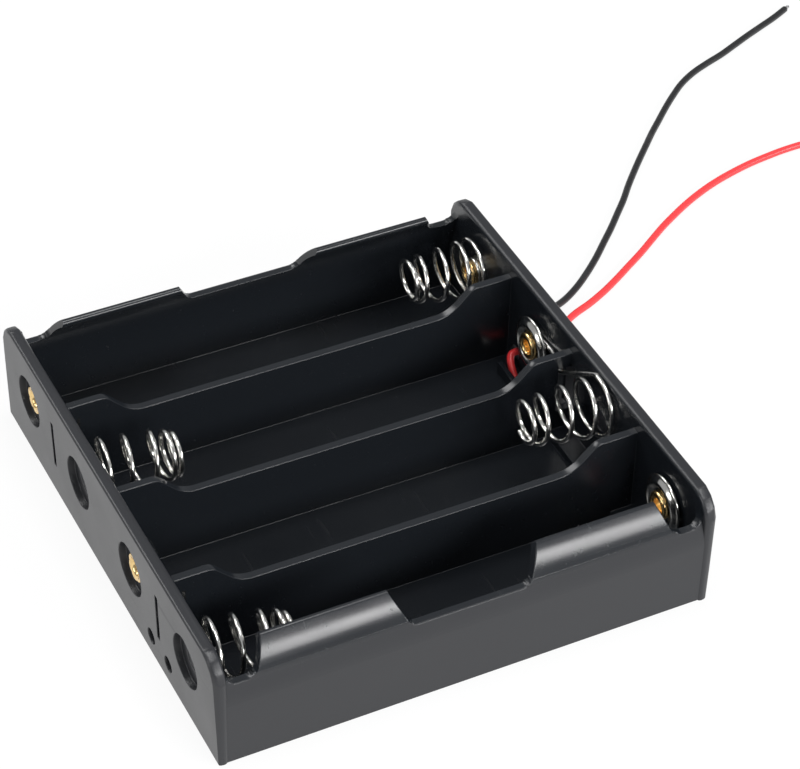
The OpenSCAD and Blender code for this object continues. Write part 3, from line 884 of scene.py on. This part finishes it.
ROUTE_RED = [
    (EXIT_X, RED_Y, HOLE_Z), (EXIT_X + 1.2, RED_Y, HOLE_Z), (41.6, 17.4, 3.2),
    (44.5, 19.2, 2.4), (47.9, 21.5, 1.3), (51.3, 23.7, 0.7), (54.9, 25.2, LIE),
    (58.4, 26.9, LIE), (61.9, 28.9, LIE), (65.3, 31.0, LIE), (68.7, 33.1, LIE),
    (72.1, 35.4, LIE), (75.4, 37.6, LIE), (78.8, 39.6, LIE), (82.3, 41.5, LIE),
    (86.0, 43.2, LIE), (89.7, 44.6, LIE), (93.5, 45.7, LIE), (97.4, 46.6, LIE),
    (101.4, 47.2, LIE), (105.4, 47.6, LIE), (109.4, 47.6, LIE), (113.3, 46.8, LIE),
    (116.9, 45.0, LIE), (119.7, 42.2, LIE), (121.5, 38.6, LIE), (122.1, 34.6, LIE),
    (121.4, 30.7, LIE), (119.5, 27.2, LIE), (116.6, 24.4, LIE)]


@dataclass
class Lead:
    """An insulated lead: soldered to its tag inside, free outside, with bare tinned ends."""

    name: str
    slot: Slot
    inner: list[tuple[float, float, float]]
    route: list[tuple[float, float, float]]
    reference: tuple[float, float, float]
    bare: float = 1.0
    stripped: float = 1.1
    strand_d: float = 0.22

    def strands(self, path: np.ndarray, reference: np.ndarray) -> list[Surface]:
        """Seven wires, one in the middle and six twisted round it at 60 degrees.

        Args:
            path: the middle of the bundle.
            reference: a direction that it never runs along.
        Returns:
            Their surfaces.
        """
        _, normal, binormal = frames(path, reference)
        run = along(path)[:, None]
        made = [tube(path, self.strand_d / 2, 8, reference)]
        for k in range(6):
            a = np.radians(60 * k) + run * 2 * np.pi / 5.5
            around = np.cos(a) * normal + np.sin(a) * binormal
            made.append(tube(path + self.strand_d * around, self.strand_d / 2, 8, reference))
        return made

    def build(self, finishes: Finishes) -> None:
        """Builds the inner stretch, its bare end and the free cord with its own bare end."""
        skin = getattr(finishes, self.name)
        ref = unit(np.array(self.reference))
        inside = smooth_path(np.array(self.inner), 6)
        length = along(inside)[-1]
        jacket = tube(cut_path(inside, 0, length - self.stripped), LEAD_D / 2, 20, ref)
        carried(make_piece(f"inner_jacket_{self.name}", [jacket], skin), self.slot, f"inner_wire_{self.name}")
        core = cut_path(inside, length - self.stripped - 0.3, length)
        carried(make_piece(f"inner_core_{self.name}", self.strands(core, ref), finishes.solder), Slot.PLATE)

        free = smooth_path(np.array(self.route), 6)
        free[:, 2] = np.maximum(free[:, 2], LIE)
        length = along(free)[-1]
        covered = cut_path(free, 0, length - self.bare)
        up = np.array([0, 0, 1.0])
        jacket = make_piece(f"jacket_{self.name}", [tube(covered, LEAD_D / 2, 20, up, rounded=0.1)], skin)
        end = make_piece(f"tinned_end_{self.name}",
                         self.strands(cut_path(free, length - self.bare - 0.4, length), up), finishes.solder)
        carried(jacket, self.slot, f"lead_{self.name}")
        carried(end, Slot.PLATE)


@dataclass
class SolderJoint:
    """A tag's solder: a drop that wets the tag and the lead's bare end."""

    bay: int
    colour: str

    def build(self, finishes: Finishes) -> None:
        """An uneven drop: an ellipsoid whose radii swell with sines of both angles, flat on the tag."""
        u = np.linspace(0.02, np.pi - 0.02, 26)[:, None]
        v = np.linspace(0, 2 * np.pi, 36, endpoint=False)[None, :]
        swell = 1 + 0.07 * np.sin(3 * v + self.bay) * np.sin(u) + 0.05 * np.sin(2 * v + 4 * u)
        z = 5.35 + 1.15 * np.cos(u) * swell
        y = bay_y(self.bay) + 0.84 * np.sin(u) * np.cos(v) * swell
        x = np.maximum(0.42, 0.62 + 0.78 * np.sin(u) * np.sin(v) * swell)
        drop = Surface(on_wall(Wall.RIGHT, np.stack([x, y, z], -1)), caps=True)
        carried(make_piece(f"solder_{self.colour}", [drop], finishes.solder), Slot.PLATE)


def dress_tags(finishes: Finishes) -> None:
    """Gives the two solder tags, which stay as the CAD has them, their plated finish."""
    for name in ("solder_tag_black", "solder_tag_red"):
        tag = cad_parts[name]
        tag.data.materials.clear()
        tag.data.materials.append(finishes.plate)
        log.info("%s dressed", name)


# ---- studio ----


@dataclass
class Studio:
    """Camera, floor, white surroundings and soft lights."""

    focal_px: float = 2997.8
    position: tuple[float, float, float] = (-0.14231, -0.29077, 0.30331)
    right: tuple[float, float, float] = (0.8970991, -0.4412026, 0.0235258)
    down: tuple[float, float, float] = (-0.2728628, -0.5951190, -0.7558964)
    ahead: tuple[float, float, float] = (0.3475041, 0.6716946, -0.6542685)
    world_light: float = 0.25
    white_in_reflections: float = 0.12
    floor_glow: float = 0.9

    def camera(self) -> None:
        """Places the camera from its three directions."""
        lens = bpy.data.cameras.new("camera")
        lens.sensor_width, lens.lens = 36, self.focal_px * 36 / 800
        lens.clip_start, lens.clip_end = 0.01, 10
        view = bpy.data.objects.new("camera", lens)
        bpy.context.scene.collection.objects.link(view)
        turn = Matrix((Vector(self.right), -Vector(self.down), -Vector(self.ahead))).transposed().to_4x4()
        turn.translation = Vector(self.position)
        view.matrix_world = turn
        bpy.context.scene.camera = view

    def floor(self) -> None:
        """A pale floor that the camera and reflections see as white, with a faint shadow."""
        s = Shader("floor_finish")
        path = s.node("ShaderNodeLightPath", {}, {}).outputs
        seen = Field(s, path["Is Camera Ray"]).largest(Field(s, path["Is Glossy Ray"]))
        seen = seen.largest(Field(s, path["Is Transmission Ray"]))
        glow = s.node("ShaderNodeEmission", {}, {"Color": (1, 1, 1, 1), "Strength": 1.0})
        s.dress(Base_Color=(0.9, 0.9, 0.9, 1), Roughness=0.8)
        mixed = s.node("ShaderNodeMixShader", {},
                       {0: seen * self.floor_glow, 1: s.surface.outputs[0], 2: glow.outputs[0]})
        s.feed(s.tree.nodes["Material Output"].inputs["Surface"], mixed.outputs[0])
        bpy.ops.mesh.primitive_plane_add(size=6)
        ground = bpy.context.object
        ground.name = "floor"
        ground.data.materials.append(s.material)

    def surroundings(self) -> None:
        """A world that is white to the camera and dim both as light and in reflections."""
        world = bpy.data.worlds.new("surroundings")
        bpy.context.scene.world = world
        world.use_nodes = True
        n = Nodes(world.node_tree)
        light = n.tree.nodes["Background"]
        n.feed(light.inputs[0], (0.95, 0.97, 1.0, 1))
        n.feed(light.inputs[1], self.world_light)
        white = n.node("ShaderNodeBackground", {}, {0: (1, 1, 1, 1)})
        path = n.node("ShaderNodeLightPath", {}, {}).outputs
        mirrored = Field(n, path["Is Glossy Ray"]).largest(Field(n, path["Is Transmission Ray"]))
        seen = mirrored * self.white_in_reflections + Field(n, path["Is Camera Ray"])
        mixed = n.node("ShaderNodeMixShader", {}, {0: seen, 1: light.outputs[0], 2: white.outputs[0]})
        n.feed(n.tree.nodes["World Output"].inputs[0], mixed.outputs[0])
        bpy.context.scene.view_settings.view_transform = "Standard"

    def softbox(self, name: str, place: tuple[float, float, float], size: tuple[float, float],
                power: float) -> None:
        """A rectangular lamp that faces the holder.

        Args:
            name: its name.
            place: where it stands, in metres.
            size: its width and height.
            power: its power in watts.
        """
        lamp = bpy.data.lights.new(name, "AREA")
        lamp.shape, lamp.size, lamp.size_y, lamp.energy = "RECTANGLE", size[0], size[1], power
        stand = bpy.data.objects.new(name, lamp)
        bpy.context.scene.collection.objects.link(stand)
        stand.location = place
        stand.rotation_mode = "QUATERNION"
        stand.rotation_quaternion = (-Vector(place)).to_track_quat("-Z", "Y")

    def build(self) -> None:
        """Builds the whole studio."""
        self.camera()
        self.floor()
        self.surroundings()
        self.softbox("front_softbox", (0.37, -0.86, 0.47), (1.1, 0.22), 11.5)
        self.softbox("top_softbox", (0.1, 0.0, 1.1), (0.5, 0.4), 6.0)
        self.softbox("back_softbox", (-0.35, 0.7, 0.75), (0.6, 0.4), 4.0)
        self.softbox("left_softbox", (-0.9, -0.1, 0.45), (0.5, 0.4), 2.0)


def main() -> None:
    """Builds the studio, the leads and then every other piece in order."""
    logging.basicConfig(level=logging.INFO, format="%(name)s: %(message)s")
    Studio().build()
    finishes = Finishes()
    Lead("black", Slot.BLACK, INNER_BLACK, ROUTE_BLACK, (1, 1, -1)).build(finishes)
    Lead("red", Slot.RED, INNER_RED, ROUTE_RED, (1, 0.4, 0.9)).build(finishes)
    Housing().build(finishes)
    gathered = {"seat": 0.5, "close_base": 0.3, "close_tip": 0.74, "tip_sharpness": 8}
    springs = [Spring(1, rise=0.5, lift=2.0, lean=-0.5, turns=4.66),
               Spring(2, rise=1.0, lift=0.0, lean=-1.1, length=13.7, tip_turns=2.1, **gathered),
               Spring(3, rise=3.1, lift=0.6, lean=0.6, turns=4.66),
               Spring(4, rise=0.5, lift=0.0, lean=-1.7, length=13.6, tip_turns=2.0, **gathered)]
    for spring in springs:
        spring.build(finishes)
    for bay in (1, 2, 3, 4):
        Contact(bay).build(finishes)
    Eyelet(1, Wall.RIGHT, TAG_T + WIRE_D + 2 * FIT, "eyelet_1_spring").build(finishes)
    dress_tags(finishes)
    SolderJoint(1, "black").build(finishes)
    SolderJoint(4, "red").build(finishes)


if __name__ == "__main__":
    main()
